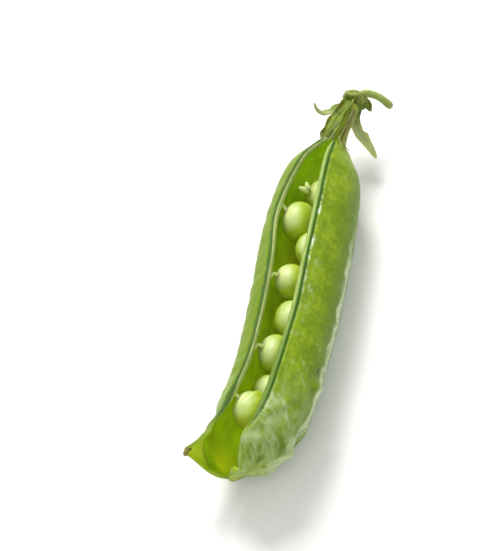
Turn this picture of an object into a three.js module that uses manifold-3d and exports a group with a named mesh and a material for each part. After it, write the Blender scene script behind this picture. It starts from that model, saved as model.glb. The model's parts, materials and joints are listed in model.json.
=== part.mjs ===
// A garden pea pod, split open along its ventral seam and lying on its dorsal seam, with its
// eight peas, its calyx and the stub of its flower stalk. Millimetres, +Z up, +X runs from the
// stem end to the beak, +Y to the right of someone who looks along +X.

import * as THREE from 'three';
import { ParametricGeometry } from 'three/addons/geometries/ParametricGeometry.js';
import { LoftGeometry } from 'three/addons/geometries/LoftGeometry.js';
import { mergeGeometries, mergeVertices } from 'three/addons/utils/BufferGeometryUtils.js';
import Module from 'manifold-3d';

const wasm = await Module();
wasm.setup();

// Cross sections of the pod, evenly spaced along its parameter from stem (0) to beak (1).
// at: centre; roll: where the opening faces, in degrees from +Y towards +Z; tall: half size
// towards the opening; wide: half size across; gaps: how far each rim stands back from the
// middle of the opening, in degrees, left and right.
const SECTIONS = [
  { at: [-44.2, -3.3, 13.0], roll: 106, tall: 1.7, wide: 1.7, gaps: [6, 4] },
  { at: [-34.4, -3.2, 12.1], roll: 106, tall: 2.0, wide: 1.9, gaps: [12, 8] },
  { at: [-30.4, -3.5, 11.3], roll: 107, tall: 4.8, wide: 4.4, gaps: [28, 24] },
  { at: [-23.0, -3.2, 10.0], roll: 109, tall: 8.0, wide: 8.6, gaps: [23, 24] },
  { at: [-9.4, -1.3, 9.0], roll: 111, tall: 9.2, wide: 10.1, gaps: [34, 26] },
  { at: [4.6, 1.2, 9.0], roll: 111, tall: 9.3, wide: 10.0, gaps: [25, 25] },
  { at: [18.6, 3.5, 9.0], roll: 110, tall: 9.2, wide: 9.5, gaps: [24, 25] },
  { at: [32.5, 5.2, 9.8], roll: 110, tall: 9.0, wide: 9.0, gaps: [24, 24] },
  { at: [44.3, 5.4, 11.0], roll: 110, tall: 8.6, wide: 8.9, gaps: [29, 26] },
  { at: [52.6, 2.8, 12.9], roll: 105, tall: 6.8, wide: 5.7, gaps: [32, 26] },
  { at: [56.5, 0.4, 14.5], roll: 96, tall: 0.8, wide: 0.7, gaps: [8, 8] },
];

// Pod wall
const WALL = 1.2;
const WALL_SHARE = 0.15; // the cavity keeps at least this share of a thin section
const MOUTH_START = 0.12; // parameter where the ventral seam begins to gape
const MOUTH_EASE = 0.04; // over which the rims part
const CAVITY_EASE = 0.08; // over which the cavity sinks to its full depth
const SPLIT_START = 0.84; // parameter where the dorsal seam has parted too
const SPLIT_SPREAD = 5.4; // how far each valve's tip moves away from the middle
const REST_HEIGHT = 0.4; // the wall is pressed flat below this height
const LIP_HEIGHT = 0.25; // the rims are a little swollen
const TORN_FACE = 1.15; // the right rim's torn face is turned upwards and this wide
const TORN_DROP = 0.25; // its inner edge lies this much lower
const TORN_ENDS = [0.17, 0.87]; // parameters between which it is turned
const SEAM_HEIGHT = 0.35; // ridge along the dorsal seam
const SEAM_WIDTH = 0.05; // its half width, as a share of a valve
const CRUMPLE = 0.35; // waves of the right valve near its tip
const SPANS = [
  [0, MOUTH_START, 6],
  [MOUTH_START, 0.3, 11],
  [0.3, SPLIT_START, 20],
  [SPLIT_START, 1, 12],
];
const STOPS = [0, 0.025, 0.06, 0.13, 0.23, 0.34, 0.46, 0.58, 0.7, 0.81, 0.9, 0.955, 1];
const LEFT = -1;
const RIGHT = 1;

// Beak, the dried style on the left valve's tip
const BEAK_ROUTE = [[55.4, -4.5, 14.3], [56.5, -5.0, 14.7], [57.4, -4.9, 14.3], [57.7, -4.6, 13.6]];
const BEAK_RADII = [0.7, 0.5, 0.35];

// Peas: centre, half sizes (along, across, up) and the rim each one hangs from, with the place
// along the pod where its stalk leaves that rim.
const PEAS = [
  { at: [-19.5, -2.1, 8.2], size: [4.3, 3.7, 3.8], rim: RIGHT, root: 0.345 },
  { at: [-10.4, -4.5, 9.2], size: [4.8, 3.7, 3.9], rim: LEFT, root: 0.383 },
  { at: [-2.6, 1.1, 10.5], size: [4.4, 3.6, 3.7], rim: RIGHT, root: 0.47 },
  { at: [6.5, -0.5, 9.5], size: [4.1, 3.6, 3.8], rim: LEFT, root: 0.532 },
  { at: [15.8, 2.9, 9.2], size: [4.5, 3.9, 3.9], rim: RIGHT, root: 0.6 },
  { at: [25.5, 2.7, 9.6], size: [4.5, 3.6, 3.9], rim: LEFT, root: 0.673 },
  { at: [34.2, 4.3, 8.2], size: [3.9, 3.6, 3.7], rim: RIGHT, root: 0.725 },
  { at: [41.6, 3.2, 11.7], size: [4.4, 3.6, 3.9], rim: LEFT, root: 0.78 },
];
const STALK_RADIUS = 0.45;
const STALK_SIDES = 6;
const STALK_GAP = 0.35; // between a stalk's root and the rim
const PEA_SEGMENTS = 16;
const PEA_RINGS = 11;
// The first pea's stalk has torn off the other rim and stands up in two tips.
const TORN_STALK_TIPS = [[-17.1, -7.0, 12.5], [-19.2, -5.9, 12.5]];
const TORN_STALK_FOOT = [-17.9, -4.7, 11.0];

// Calyx: the cup and its five sepals, each a folded blade along its route
const CUP_AT = [-46.3, -3.2, 13.2];
const CUP_SIZE = [1.75, 3.0, 3.0];
const SEPAL_THICKNESS = 0.65;
const SEPAL_STEPS = 9;
const SEPALS = [
  {
    route: [[-45.6, -5.0, 12.3], [-43.4, -6.7, 12.0], [-41.2, -7.8, 13.2], [-39.9, -9.9, 14.0], [-40.4, -11.4, 15.8]],
    face: [-0.3, -0.3, 1], width: 2.2, fold: 0.35,
  },
  {
    route: [[-45.6, -4.0, 15.2], [-42.6, -3.7, 16.4], [-38.0, -4.5, 16.2], [-34.3, -5.7, 16.0], [-29.9, -7.0, 16.1]],
    face: [0, -0.2, 1], width: 3.8, fold: 0.3, lean: 2,
  },
  {
    route: [[-45.6, -1.4, 13.9], [-44.0, -0.2, 13.6], [-43.6, 1.4, 12.2], [-44.0, 2.4, 10.4]],
    face: [0.4, 1, 0.5], width: 3.0, fold: 0.25,
  },
  {
    route: [[-45.6, -1.9, 11.6], [-43.0, -0.6, 10.7], [-40.6, -0.1, 9.0], [-39.6, 2.4, 7.0], [-37.7, 5.3, 5.0]],
    face: [0.2, 1, 0.6], width: 2.2, fold: 0.35,
  },
  {
    route: [[-45.6, -3.6, 11.0], [-43.0, -4.4, 9.4], [-40.2, -5.4, 8.4], [-37.2, -7.2, 8.0]],
    face: [0.2, -0.6, -1], width: 2.6, fold: 0.3,
  },
];

// Flower stalk, cut off short
const STALK_ROUTE = [[-48.75, -2.9, 13.6], [-49.3, -1.2, 14.1], [-49.9, 1.6, 13.6], [-50.2, 5.4, 11.8]];
const STALK_WIDTH = 0.8;

// Dried stamens, two strips fused where they leave the calyx, lying along the neck
const STAMEN_LIFT = 0.85; // height of the strips' middle over the wall
const STAMEN_THICKNESS = 0.6;
const STAMEN_STEPS = 9;
const STAMENS = [
  { from: [0.02, 0.78], to: [0.22, 0.86], width: 0.8 },
  { from: [0.02, 0.7], to: [0.2, 0.68], width: 1.2 },
];

const COLOURS = {
  shell: 0x86a428,
  pea: 0xc2d455,
  calyx: 0x82a04a,
  stalk: 0x9fae62,
  stamen: 0x9a7f4e,
};

// Small helpers

const vec = ([x, y, z]) => new THREE.Vector3(x, y, z);

const curveThrough = (points) => new THREE.CatmullRomCurve3(points, false, 'catmullrom', 0.5);

function smooth(value) {
  const x = THREE.MathUtils.clamp(value, 0, 1);
  return x * x * (3 - 2 * x);
}

function material(color, roughness) {
  return new THREE.MeshStandardMaterial({ color, roughness, metalness: 0 });
}

// Welds the corners of one or more patches into one body and drops triangles without area.
function weld(patches) {
  for (const patch of patches) {
    patch.deleteAttribute('normal');
    patch.deleteAttribute('uv');
  }
  const welded = mergeVertices(mergeGeometries(patches), 1e-4);
  const index = [...welded.index.array];
  const kept = [];
  for (let i = 0; i < index.length; i += 3) {
    const [a, b, c] = index.slice(i, i + 3);
    if (a !== b && b !== c && c !== a) kept.push(a, b, c);
  }
  welded.setIndex(kept);
  return welded;
}

function turnedOver(geometry) {
  const index = [...geometry.index.array];
  for (let i = 0; i < index.length; i += 3) {
    [index[i + 1], index[i + 2]] = [index[i + 2], index[i + 1]];
  }
  geometry.setIndex(index);
  return geometry;
}

function toSolid(geometry) {
  const closed = weld([geometry]);
  return new wasm.Manifold(new wasm.Mesh({
    numProp: 3,
    vertProperties: new Float32Array(closed.attributes.position.array),
    triVerts: new Uint32Array(closed.index.array),
  }));
}

function joined(geometries) {
  const solid = geometries.map(toSolid).reduce((whole, piece) => whole.add(piece));
  const mesh = solid.getMesh();
  const geometry = new THREE.BufferGeometry();
  geometry.setAttribute('position', new THREE.BufferAttribute(mesh.vertProperties, 3));
  geometry.setIndex([...mesh.triVerts]);
  geometry.computeVertexNormals();
  return geometry;
}

// A tapering rod with domed look, lofted from rings along a route.
function rod(route, radii, steps, sides) {
  const path = curveThrough(route.map(vec));
  const radiusLine = curveThrough(radii.map((radius, i) => new THREE.Vector3(i, radius, 0)));
  const frames = path.computeFrenetFrames(steps, false);
  const rings = frames.tangents.map((tangent, i) => {
    const t = i / steps;
    const radius = radiusLine.getPoint(t).y;
    const centre = path.getPoint(t);
    return Array.from({ length: sides }, (unused, k) => {
      const angle = (2 * Math.PI * k) / sides;
      return centre.clone()
        .addScaledVector(frames.normals[i], radius * Math.cos(angle))
        .addScaledVector(frames.binormals[i], radius * Math.sin(angle));
    });
  });
  return new LoftGeometry(rings, { closed: true, capStart: true, capEnd: true });
}

// A thin blade along a path: folded across by "fold", as wide as widthAt says.
function blade(path, faceAt, widthAt, fold, thickness, steps) {
  const across = [-1, -0.5, 0, 0.5, 1];
  const rings = [];
  for (let i = 0; i <= steps; i += 1) {
    const t = i / steps;
    const centre = path.getPoint(t);
    const along = path.getTangent(t);
    const face = faceAt(t);
    face.addScaledVector(along, -face.dot(along)).normalize();
    const side = new THREE.Vector3().crossVectors(face, along);
    const half = widthAt(t) / 2;
    const corner = (s, height) => centre.clone()
      .addScaledVector(side, s * half)
      .addScaledVector(face, height + fold * s * s * half);
    const top = across.map((s) => corner(s, thickness / 2));
    const bottom = across.map((s) => corner(s, -thickness / 2)).reverse();
    rings.push([...top, ...bottom].reverse());
  }
  return new LoftGeometry(rings, { closed: true, capStart: true, capEnd: true });
}

// Pod shell

const CENTRE_LINE = curveThrough(SECTIONS.map(({ at }) => vec(at)));
const SHAPE_LINE = curveThrough(SECTIONS.map(({ roll, tall, wide }) => new THREE.Vector3(roll, tall, wide)));
const GAP_LINE = curveThrough(SECTIONS.map(({ gaps }) => new THREE.Vector3(gaps[0], gaps[1], 0)));

function podFrame(t) {
  const shape = SHAPE_LINE.getPoint(t);
  const roll = THREE.MathUtils.degToRad(shape.x);
  const along = CENTRE_LINE.getTangent(t);
  const up = new THREE.Vector3(0, Math.cos(roll), Math.sin(roll));
  up.addScaledVector(along, -up.dot(along)).normalize();
  const right = new THREE.Vector3().crossVectors(up, along);
  return { centre: CENTRE_LINE.getPoint(t), along, up, right, tall: shape.y, wide: shape.z };
}

function rimAngle(t, side) {
  const gaps = GAP_LINE.getPoint(t);
  const gap = side === LEFT ? gaps.x : gaps.y;
  return THREE.MathUtils.degToRad(gap) * smooth((t - MOUTH_START) / MOUTH_EASE);
}

function splitShift(t, side) {
  const reach = THREE.MathUtils.clamp((t - SPLIT_START) / (1 - SPLIT_START), 0, 1);
  return new THREE.Vector3(0, side * SPLIT_SPREAD * reach * reach, 0);
}

// A point of one valve: f runs from the dorsal seam (0) to the rim (1), offset is added to
// both half sizes.
function valvePoint(t, side, f, tall, wide) {
  const { centre, up, right } = podFrame(t);
  const angle = Math.PI + (rimAngle(t, side) - Math.PI) * f;
  return centre.add(splitShift(t, side))
    .addScaledVector(up, tall * Math.cos(angle))
    .addScaledVector(right, side * wide * Math.sin(angle));
}

// Relief of the outer face: the seam ridge, the swollen lip and the right valve's waves.
function relief(t, side, f) {
  const ends = smooth((t - 0.1) / 0.1) * smooth((1 - t) / 0.08);
  const ridge = SEAM_HEIGHT * Math.exp(-((f / SEAM_WIDTH) ** 2));
  const lip = LIP_HEIGHT * smooth((f - 0.93) / 0.07);
  const wavy = side === RIGHT ? smooth((t - 0.72) / 0.12) * smooth((f - 0.1) / 0.2) : 0;
  const waves = CRUMPLE * wavy * Math.sin(62 * t - 5 * f) * Math.sin(9 * f + 14 * t);
  return ends * (ridge + lip + waves);
}

function outerPoint(t, side, f) {
  const { tall, wide } = podFrame(t);
  const lift = relief(t, side, f);
  const point = valvePoint(t, side, f, tall + lift, wide + lift);
  point.z = Math.max(point.z, REST_HEIGHT);
  return point;
}

// The cavity starts as a point on the ventral seam and sinks to its full depth from there.
function innerPoint(t, side, f) {
  const { centre, up, right, tall, wide } = podFrame(t);
  const depth = smooth((t - MOUTH_START) / CAVITY_EASE);
  const innerTall = Math.max(tall - WALL, WALL_SHARE * tall);
  const innerWide = Math.max(wide - WALL, WALL_SHARE * wide);
  const inner = valvePoint(t, side, f, innerTall, innerWide);
  if (side === RIGHT && f === 1) {
    const tornEdge = outerPoint(t, side, 1).addScaledVector(right, -TORN_FACE).addScaledVector(up, -TORN_DROP);
    inner.lerp(tornEdge, smooth((t - TORN_ENDS[0]) / 0.06) * smooth((TORN_ENDS[1] - t) / 0.06));
  }
  const seam = centre.addScaledVector(up, tall + relief(t, LEFT, 1));
  return seam.lerp(inner, depth);
}

// The tip where a valve ends: the middle of its last section.
function tipPoint(side) {
  return outerPoint(1, side, 0.5).lerp(innerPoint(1, side, 0.5), 0.5);
}

function valvePatches(side) {
  const patches = [];
  const add = (pointAt, columns, [from, to, rows]) => {
    const write = (u, v, target) => {
      const t = from + (to - from) * v;
      target.copy(t >= 1 ? tipPoint(side) : pointAt(t, Math.round(u * columns)));
    };
    const patch = new ParametricGeometry(write, columns, rows);
    patches.push(side === LEFT ? turnedOver(patch) : patch);
  };
  const last = STOPS.length - 1;
  for (const span of SPANS) {
    add((t, i) => outerPoint(t, side, STOPS[i]), last, span);
    if (span[0] < MOUTH_START) continue;
    add((t, i) => innerPoint(t, side, STOPS[last - i]), last, span);
    add((t, i) => [outerPoint, innerPoint][i](t, side, 1), 1, span);
    if (span[0] < SPLIT_START) continue;
    add((t, i) => [innerPoint, outerPoint][i](t, side, 0), 1, span);
  }
  // the end of the neck, closed from its middle outwards
  const cap = new ParametricGeometry((u, v, target) => {
    const { centre } = podFrame(0);
    target.copy(centre.lerp(outerPoint(0, side, STOPS[Math.round(u * last)]), v));
  }, last, 1);
  patches.push(side === LEFT ? turnedOver(cap) : cap);
  return patches;
}

function podShell() {
  const skin = weld([...valvePatches(LEFT), ...valvePatches(RIGHT)]);
  return joined([skin, rod(BEAK_ROUTE, BEAK_RADII, 6, 8)]);
}

// Peas

function nearestParameter(x) {
  const spans = 400;
  const gaps = Array.from({ length: spans + 1 }, (unused, i) => Math.abs(CENTRE_LINE.getPoint(i / spans).x - x));
  return gaps.indexOf(Math.min(...gaps)) / spans;
}

function pea({ at, size, rim, root }) {
  const { along, up, right } = podFrame(nearestParameter(at[0]));
  const ball = new THREE.SphereGeometry(1, PEA_SEGMENTS, PEA_RINGS);
  ball.scale(...size);
  ball.applyMatrix4(new THREE.Matrix4().makeBasis(along, right, up).setPosition(...at));
  const rootFrame = podFrame(root);
  const inward = rootFrame.centre.clone().sub(innerPoint(root, rim, 1)).normalize();
  const start = innerPoint(root, rim, 0.97).addScaledVector(inward, STALK_GAP + STALK_RADIUS);
  const centre = vec(at);
  const end = centre.clone()
    .addScaledVector(up, 0.55 * size[2])
    .addScaledVector(right, 0.45 * rim * size[1]);
  const bend = start.clone().lerp(end, 0.5).addScaledVector(up, 0.5);
  const route = [start, bend, end].map((point) => point.toArray());
  return [ball, rod(route, [STALK_RADIUS, STALK_RADIUS, STALK_RADIUS * 1.5], 5, STALK_SIDES)];
}

function tornStalk(tip) {
  const centre = PEAS[0].at;
  const foot = vec(TORN_STALK_FOOT);
  const inside = foot.clone().lerp(vec(centre), 0.35);
  const route = [inside.toArray(), TORN_STALK_FOOT, tip];
  return rod(route, [0.75, 0.6, 0.4], 5, STALK_SIDES);
}

function peaSolid(spec, number) {
  const pieces = pea(spec);
  if (number === 0) pieces.push(...TORN_STALK_TIPS.map(tornStalk));
  return joined(pieces);
}

// Calyx and stalk

function sepal({ route, face, width, fold, lean = 1 }) {
  const path = curveThrough(route.map(vec));
  const widthAt = (t) => width * Math.sin(Math.PI * (0.25 + 0.68 * t ** lean));
  return blade(path, () => vec(face), widthAt, fold, SEPAL_THICKNESS, SEPAL_STEPS);
}

function calyx() {
  const cup = new THREE.SphereGeometry(1, 20, 14);
  cup.rotateZ(Math.PI / 2);
  cup.scale(...CUP_SIZE);
  cup.translate(...CUP_AT);
  return joined([cup, ...SEPALS.map(sepal)]);
}

function stamenStrip({ from, to, width }) {
  const points = [];
  const count = 5;
  for (let i = 0; i < count; i += 1) {
    const share = i / (count - 1);
    const t = THREE.MathUtils.lerp(from[0], to[0], share);
    const f = THREE.MathUtils.lerp(from[1], to[1], share);
    const { centre } = podFrame(t);
    const point = outerPoint(t, RIGHT, f);
    const out = point.clone().sub(centre).normalize();
    points.push(point.addScaledVector(out, STAMEN_LIFT));
  }
  const path = curveThrough(points);
  const faceAt = (t) => path.getPoint(t).sub(podFrame(THREE.MathUtils.lerp(from[0], to[0], t)).centre);
  const widthAt = (t) => width * (1 - 0.45 * t);
  return blade(path, faceAt, widthAt, 0, STAMEN_THICKNESS, STAMEN_STEPS);
}

// Assembly

const pod = new THREE.Group();

function add(name, geometry, color, roughness) {
  const mesh = new THREE.Mesh(geometry, material(color, roughness));
  mesh.name = name;
  pod.add(mesh);
}

add('pod_shell', podShell(), COLOURS.shell, 0.45);
PEAS.forEach((spec, i) => add(`pea_${i + 1}`, peaSolid(spec, i), COLOURS.pea, 0.4));
add('calyx', calyx(), COLOURS.calyx, 0.5);
add('pedicel', rod(STALK_ROUTE, [STALK_WIDTH, STALK_WIDTH, STALK_WIDTH], 8, 10), COLOURS.stalk, 0.6);
add('stamens', joined(STAMENS.map(stamenStrip)), COLOURS.stamen, 0.7);

// The origin is the middle of the footprint, at the height of the resting spot.
const box = new THREE.Box3().setFromObject(pod);
pod.position.set(-(box.min.x + box.max.x) / 2, -(box.min.y + box.max.y) / 2, -box.min.z);

export default pod;
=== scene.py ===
"""The looks of an open garden pea pod: shell, peas, calyx, flower stalk and dried stamens.

Lengths are in millimetres in the drawing's frame (+X from the stem end to the beak, +Z up) and
become metres when a mesh is finished. On a valve, t runs from 0 at the stem end to 1 at the beak,
and f from 0 at the grown seam to 1 at the torn rim.
"""

import json
import logging
import math
from dataclasses import dataclass, field
from enum import Enum
from typing import Any, Callable, Sequence

import bmesh
import bpy
from mathutils import Matrix, Vector, noise

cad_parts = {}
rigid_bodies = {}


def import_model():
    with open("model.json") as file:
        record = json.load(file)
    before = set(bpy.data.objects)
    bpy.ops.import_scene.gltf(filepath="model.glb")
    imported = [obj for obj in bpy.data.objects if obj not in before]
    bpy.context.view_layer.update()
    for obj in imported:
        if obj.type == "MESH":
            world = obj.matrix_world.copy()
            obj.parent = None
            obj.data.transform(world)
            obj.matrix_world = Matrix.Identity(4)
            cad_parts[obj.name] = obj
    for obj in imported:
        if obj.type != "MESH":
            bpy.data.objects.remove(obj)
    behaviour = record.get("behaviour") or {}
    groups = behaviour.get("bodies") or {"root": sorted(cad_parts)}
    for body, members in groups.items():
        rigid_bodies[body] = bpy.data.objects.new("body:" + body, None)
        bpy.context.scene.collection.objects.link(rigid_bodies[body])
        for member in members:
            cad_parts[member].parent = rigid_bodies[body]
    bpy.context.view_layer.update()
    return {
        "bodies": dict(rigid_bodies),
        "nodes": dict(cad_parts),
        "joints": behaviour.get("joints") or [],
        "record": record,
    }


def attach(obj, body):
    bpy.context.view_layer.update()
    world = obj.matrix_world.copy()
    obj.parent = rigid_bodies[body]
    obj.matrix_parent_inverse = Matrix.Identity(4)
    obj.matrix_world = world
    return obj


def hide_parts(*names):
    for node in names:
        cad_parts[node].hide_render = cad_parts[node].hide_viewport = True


LOG = logging.getLogger("pea_pod")
MM = 0.001
ORIGIN_SHIFT = Vector((-3.5139, -1.4199, -0.4))  # from the drawing's origin to the part's
ROOT = "root"
TURN = 2 * math.pi
OFF_AXIS = Vector((0.31, -0.22, 0.93))  # no tube runs along it, so it can set a tube's sides

Colour = tuple[float, float, float]
Point = tuple[float, float, float]
Placed = tuple[Vector, tuple[float, ...]]
Place = Callable[[int, int], Placed]


class Side(Enum):
    """The pod's two valves, with the sign of their side."""

    LEFT = -1
    RIGHT = 1


def smooth(value: float) -> float:
    """Eases a value from 0 to 1 and holds it outside that span."""
    x = min(max(value, 0.0), 1.0)
    return x * x * (3.0 - 2.0 * x)


def bell(value: float, middle: float, width: float) -> float:
    """A bump of height 1 at the middle that falls off over the width."""
    return math.exp(-(((value - middle) / width) ** 2))


def wave(x: float, y: float, z: float = 0.0) -> float:
    """Smooth noise between about -1 and 1 at a point."""
    return noise.noise(Vector((x, y, z)))


def through(values: Sequence[Sequence[float]], t: float) -> list[float]:
    """Runs a uniform Catmull-Rom curve through rows of values, with straight ends.

    Args:
        values: one row of numbers for each knot.
        t: place on the curve, from 0 to 1.

    Returns:
        The row of numbers at that place.
    """
    last = len(values) - 1
    x = min(max(t, 0.0), 1.0) * last
    i = min(int(x), last - 1)
    w = x - i
    b, c = values[i], values[i + 1]
    a = values[i - 1] if i > 0 else [2 * p - q for p, q in zip(b, c)]
    d = values[i + 2] if i + 2 <= last else [2 * q - p for p, q in zip(b, c)]
    row = []
    for p0, p1, p2, p3 in zip(a, b, c, d):
        v0, v1 = (p2 - p0) / 2, (p3 - p1) / 2
        cubic = (2 * p1 - 2 * p2 + v0 + v1) * w**3
        row.append(cubic + (3 * p2 - 3 * p1 - 2 * v0 - v1) * w**2 + v0 * w + p1)
    return row


def heading(route: Sequence[Sequence[float]], t: float, reach: float = 0.01) -> Vector:
    """Finds the direction in which a curve runs.

    Args:
        route: its knots, each starting with a place.
        t: place on the curve, from 0 to 1.
        reach: how far before and after t the curve is read.

    Returns:
        A direction of length 1.
    """
    ahead = Vector(through(route, min(t + reach, 1.0))[:3])
    behind = Vector(through(route, max(t - reach, 0.0))[:3])
    return (ahead - behind).normalized()


def rounded(u: float, start: float) -> float:
    """Falls from 1 at the start to 0 at 1, like a quarter circle."""
    return math.sqrt(max(0.0, 1.0 - max(0.0, (u - start) / (1.0 - start)) ** 2))


def spaced(share: float, power: float) -> float:
    """Draws even shares closer together towards 1."""
    return 1.0 - (1.0 - share) ** power


@dataclass(frozen=True)
class Spot:
    """A soft mark on a valve: its middle and half sizes, along the pod and down from the rim.

    The slant moves it along for each millimetre down. The strength is its share of a colour, or
    its height in millimetres where it is a lump or, below zero, a dent.
    """

    middle: tuple[float, float]
    size: tuple[float, float]
    slant: float = 0.0
    strength: float = 1.0


PALE_LUMPS = (Spot((84.2, 10.3), (2.3, 2.0)), Spot((72.6, 10.9), (1.7, 1.6)))
SCRATCHES = (
    Spot((71.0, 5.2), (0.5, 1.3), 0.8),
    Spot((73.6, 5.8), (0.4, 1.3), 0.9, 0.7),
    Spot((57.2, 2.0), (1.0, 1.0), 0.4, 0.6),
    Spot((80.8, 4.4), (0.7, 3.4), 0.75),
)
RUBBED = (Spot((79.5, 3.6), (6.5, 2.6)),)
SCAR = (Spot((69.9, 9.1), (0.75, 0.32), 0.5),)
DARK_DENTS = (Spot((90.4, 7.1), (1.6, 1.1)), Spot((85.6, 8.6), (0.9, 1.8), 0.3, 0.8))
# Painted shade beside the crease in the left valve's lining near the beak.
LINING_CREASE_SHADE = (Spot((93.2, 8.0), (1.8, 9.5), -0.12),)
RAISED = (
    Spot((84.6, 10.4), (1.1, 1.6), strength=1.6),
    Spot((72.4, 10.4), (1.1, 1.6), strength=1.3),
    Spot((90.4, 7.1), (1.3, 0.9), strength=-0.5),
    Spot((85.58, 8.6), (0.6, 1.6), 0.3, -0.4),
)
NOTCH = (Spot((80.5, 14.6), (1.6, 2.6), strength=1.6),)


def raised(x: float, y: float, marks: Sequence[Spot]) -> float:
    """Adds up the heights of lumps and dents at one place.

    Args:
        x: place along the pod, in millimetres.
        y: distance from the rim, in millimetres.
        marks: the lumps and dents.

    Returns:
        The height, in millimetres.
    """
    height = 0.0
    for mark in marks:
        down = y - mark.middle[1]
        across = bell(x - down * mark.slant, mark.middle[0], mark.size[0])
        height += mark.strength * across * bell(down, 0.0, mark.size[1])
    return height


class Clay:
    """A mesh under construction that keeps named numbers at its corners."""

    def __init__(self, *names: str) -> None:
        """Starts an empty mesh with a layer for each name."""
        self.bm = bmesh.new()
        self.layers = [self.bm.verts.layers.float.new(name) for name in names]

    def put(self, corner: bmesh.types.BMVert, placed: Placed) -> None:
        """Moves a corner and keeps its numbers.

        Args:
            corner: the corner.
            placed: its place and its numbers.
        """
        corner.co = placed[0]
        for layer, value in zip(self.layers, placed[1]):
            corner[layer] = value

    def grid(self, columns: int, rows: int, place: Place, paint: int = 0) -> None:
        """Adds a grid and moves each corner to its place.

        Args:
            columns: faces across.
            rows: faces along.
            place: gives the corner's place and numbers for its column and row.
            paint: which of the piece's materials its faces take.
        """
        made = bmesh.ops.create_grid(self.bm, x_segments=columns, y_segments=rows, size=0.5)
        for face in {face for corner in made["verts"] for face in corner.link_faces}:
            face.material_index = paint
        for corner in made["verts"]:
            column = round((corner.co.x + 0.5) * columns)
            row = round((corner.co.y + 0.5) * rows)
            self.put(corner, place(column, row))

    def ball(self, place: Callable[[Vector], Placed], detail: int = 6) -> None:
        """Adds a ball and moves each corner to its place.

        Args:
            place: gives the corner's place and numbers for its direction from the middle.
            detail: how often the ball's faces are divided.
        """
        made = bmesh.ops.create_icosphere(self.bm, subdivisions=detail, radius=1.0)
        for corner in made["verts"]:
            self.put(corner, place(corner.co.normalized()))

    def tube(
        self,
        route: Sequence[Sequence[float]],
        radii: Sequence[float],
        numbers: Callable[[float, float], tuple[float, ...]],
        around: int = 20,
        rows: int = 36,
        swell: Callable[[float, float], float] | None = None,
    ) -> None:
        """Adds a closed tube with rounded ends along a curve.

        Args:
            route: points that the curve passes.
            radii: radii spread evenly along it.
            numbers: the corner's numbers for its place along and its turn, both from 0 to 1.
            around: faces around.
            rows: faces along.
            swell: an extra radius for the place along and the turn.
        """
        radius_rows = [[radius] for radius in radii]
        length = sum((Vector(b) - Vector(a)).length for a, b in zip(route, route[1:]))

        def place(column: int, row: int) -> Placed:
            """Places one corner of the tube.

            Args:
                column: its column, round the tube.
                row: its row, along the tube.

            Returns:
                Its place and its numbers.
            """
            u = row / rows
            turn = (column % around) / around
            radius = through(radius_rows, u)[0]
            cap = min(1.0, radius / length) or 1e-3
            shrink = min(1.0, min(u, 1.0 - u) / cap)
            radius *= math.sqrt(max(0.0, 1.0 - (1.0 - shrink) ** 2))
            if swell and 0 < row < rows:
                radius += swell(u, turn) * shrink
            along = heading(route, u)
            side = along.cross(OFF_AXIS).normalized()
            lift = side.cross(along)
            angle = TURN * turn
            middle = Vector(through(route, u))
            return middle + (side * math.cos(angle) + lift * math.sin(angle)) * radius, numbers(u, turn)

        self.grid(around, rows, place)

    def finish(self, name: str, weld: float = 1e-4) -> bpy.types.Object:
        """Welds the mesh, turns its faces out, takes it to metres and makes its object.

        Args:
            name: the object's name.
            weld: corners closer than this, in millimetres, are merged.

        Returns:
            The new object, at the origin and smoothly shaded.
        """
        bm = self.bm
        bmesh.ops.remove_doubles(bm, verts=bm.verts[:], dist=weld)
        bmesh.ops.dissolve_degenerate(bm, edges=bm.edges[:], dist=1e-6)
        bmesh.ops.recalc_face_normals(bm, faces=bm.faces[:])
        to_metres = Matrix.Scale(MM, 4) @ Matrix.Translation(ORIGIN_SHIFT)
        bmesh.ops.transform(bm, matrix=to_metres, verts=bm.verts[:])
        for face in bm.faces:
            face.smooth = True
        mesh = bpy.data.meshes.new(name)
        bm.to_mesh(mesh)
        bm.free()
        return link(name, mesh)


def link(name: str, data: bpy.types.ID) -> bpy.types.Object:
    """Makes an object and puts it in the scene.

    Args:
        name: its name.
        data: its mesh, camera or light.

    Returns:
        The object.
    """
    made = bpy.data.objects.new(name, data)
    bpy.context.scene.collection.objects.link(made)
    return made


def dress(piece: bpy.types.Object, material: bpy.types.Material, node: str) -> None:
    """Gives a piece its material, puts it under the root body and hides the node that it replaces.

    Args:
        piece: the finished object.
        material: its material.
        node: the solid that it replaces.
    """
    piece.data.materials.append(material)
    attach(piece, ROOT)
    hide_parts(node)


# Shader sums


class Value:
    """A shader socket that takes part in sums."""

    def __init__(self, tree: "Tree", socket: bpy.types.NodeSocket) -> None:
        """Keeps the socket and the tree it belongs to."""
        self.tree = tree
        self.socket = socket

    def __add__(self, other: "Value | float") -> "Value":
        """Sum."""
        return self.tree.math("ADD", self, other)

    def __sub__(self, other: "Value | float") -> "Value":
        """Difference."""
        return self.tree.math("SUBTRACT", self, other)

    def __rsub__(self, other: "Value | float") -> "Value":
        """Difference from a number."""
        return self.tree.math("SUBTRACT", other, self)

    def __mul__(self, other: "Value | float") -> "Value":
        """Product."""
        return self.tree.math("MULTIPLY", self, other)

    def __truediv__(self, other: "Value | float") -> "Value":
        """Quotient."""
        return self.tree.math("DIVIDE", self, other)

    __radd__ = __add__
    __rmul__ = __mul__


Input = Value | float | Sequence[float]


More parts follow.
